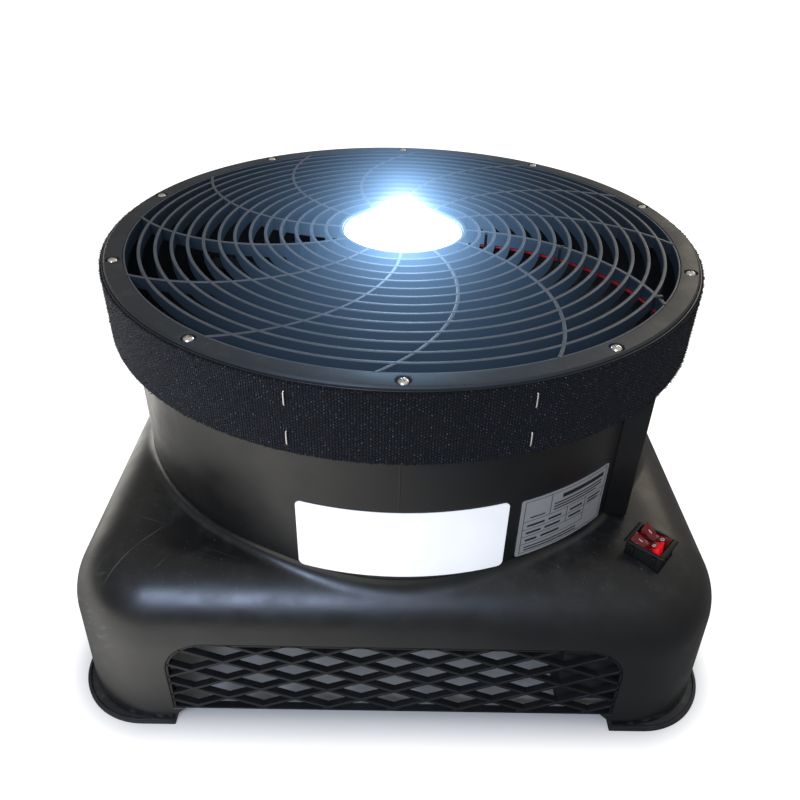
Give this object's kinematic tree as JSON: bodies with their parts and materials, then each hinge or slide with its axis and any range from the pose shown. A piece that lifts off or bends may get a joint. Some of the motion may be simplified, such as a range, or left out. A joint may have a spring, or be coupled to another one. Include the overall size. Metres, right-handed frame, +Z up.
{
  "type": "air mover",
  "caption": "Upright axial blower for inflatable tubes: square vented base, round collar with hook-and-loop band, spiral-spoked outlet grille, centre lamp and rocker switches.",
  "frame": {"origin": "on the floor, under the middle of the base", "axes": "+Z up along the fan's axis, front (label side) towards -Y, switches towards +X -Y"},
  "size_m": [0.489, 0.489, 0.3005],
  "materials": {
    "housing_plastic": "satin",
    "intake_plastic": "satin",
    "foot_plastic": "satin",
    "bush_plastic": "satin",
    "ring_plastic": "satin",
    "grille_plastic": "satin",
    "screw_zinc": "satin",
    "hook_fabric": "woven hook tape",
    "staple_wire": "satin",
    "white_label": "satin",
    "silver_label": "satin",
    "lamp_metal": "satin",
    "lamp_board": "matte",
    "lamp_lens": "frosted, lit",
    "wire_red": "gloss",
    "wire_blue": "gloss",
    "tie_nylon": "satin",
    "switch_plastic": "satin",
    "rocker_red": "gloss, translucent",
    "bracket_steel": "satin",
    "bolt_zinc": "satin",
    "motor_aluminium": "cast",
    "copper_core": "varnished",
    "core_steel": "machined",
    "bearing_steel": "polished",
    "fan_plastic": "satin",
    "capacitor_case": "satin",
    "driver_case": "satin",
    "box_plastic": "satin"
  },
  "bodies": {
    "chassis": {"base_housing": "housing_plastic", "outlet_collar": "housing_plastic", "conduit_cover": "housing_plastic", "intake_mesh_front": "intake_plastic", "intake_mesh_right": "intake_plastic", "intake_mesh_rear": "intake_plastic", "intake_mesh_left": "intake_plastic", "foot_plate_rear_right": "foot_plastic", "foot_plate_rear_left": "foot_plastic", "foot_plate_front_left": "foot_plastic", "foot_plate_front_right": "foot_plastic", "cable_bush": "bush_plastic", "clamp_ring": "ring_plastic", "outlet_grille": "grille_plastic", "ring_screw_01": "screw_zinc", "ring_screw_02": "screw_zinc", "ring_screw_03": "screw_zinc", "ring_screw_04": "screw_zinc", "ring_screw_05": "screw_zinc", "ring_screw_06": "screw_zinc", "ring_screw_07": "screw_zinc", "ring_screw_08": "screw_zinc", "ring_screw_09": "screw_zinc", "ring_screw_10": "screw_zinc", "hook_band": "hook_fabric", "band_staple_left_upper": "staple_wire", "band_staple_left_lower": "staple_wire", "band_staple_right_upper": "staple_wire", "band_staple_right_lower": "staple_wire", "name_plate": "white_label", "rating_label": "silver_label", "lamp_housing": "lamp_metal", "lamp_board": "lamp_board", "lamp_lens": "lamp_lens", "lamp_wire_red": "wire_red", "lamp_wire_blue": "wire_blue", "cable_tie_1": "tie_nylon", "cable_tie_2": "tie_nylon", "cable_tie_3": "tie_nylon", "switch_housing": "switch_plastic", "motor_bracket": "bracket_steel", "motor_can": "bracket_steel", "bracket_bolt_1": "bolt_zinc", "bracket_bolt_2": "bolt_zinc", "bracket_bolt_3": "bolt_zinc", "bracket_bolt_4": "bolt_zinc", "motor_lower_cap": "motor_aluminium", "motor_upper_cap": "motor_aluminium", "motor_stator": "copper_core", "bearing_lower": "bearing_steel", "bearing_upper": "bearing_steel", "run_capacitor": "capacitor_case", "lamp_driver": "driver_case", "switch_box": "box_plastic"},
    "fan": {"fan_rotor": "fan_plastic", "fan_nut": "bolt_zinc", "motor_shaft": "core_steel", "motor_rotor": "core_steel"},
    "lamp_rocker": {"rocker_lamp": "rocker_red"},
    "fan_rocker": {"rocker_fan": "rocker_red"}
  },
  "joints": [
    {"name": "fan_spin", "type": "hinge", "parent": "chassis", "child": "fan", "pos_m": [0, 0, 0.2], "axis": [0, 0, 1], "continuous": true},
    {"name": "lamp_switch", "type": "hinge", "parent": "chassis", "child": "lamp_rocker", "pos_m": [0.17743, -0.19193, 0.1415], "axis": [0.6547, 0.7559, 0], "range_deg": [0, 18]},
    {"name": "fan_switch", "type": "hinge", "parent": "chassis", "child": "fan_rocker", "pos_m": [0.18477, -0.18347, 0.1415], "axis": [0.6547, 0.7559, 0], "range_deg": [-18, 0]}
  ]
}
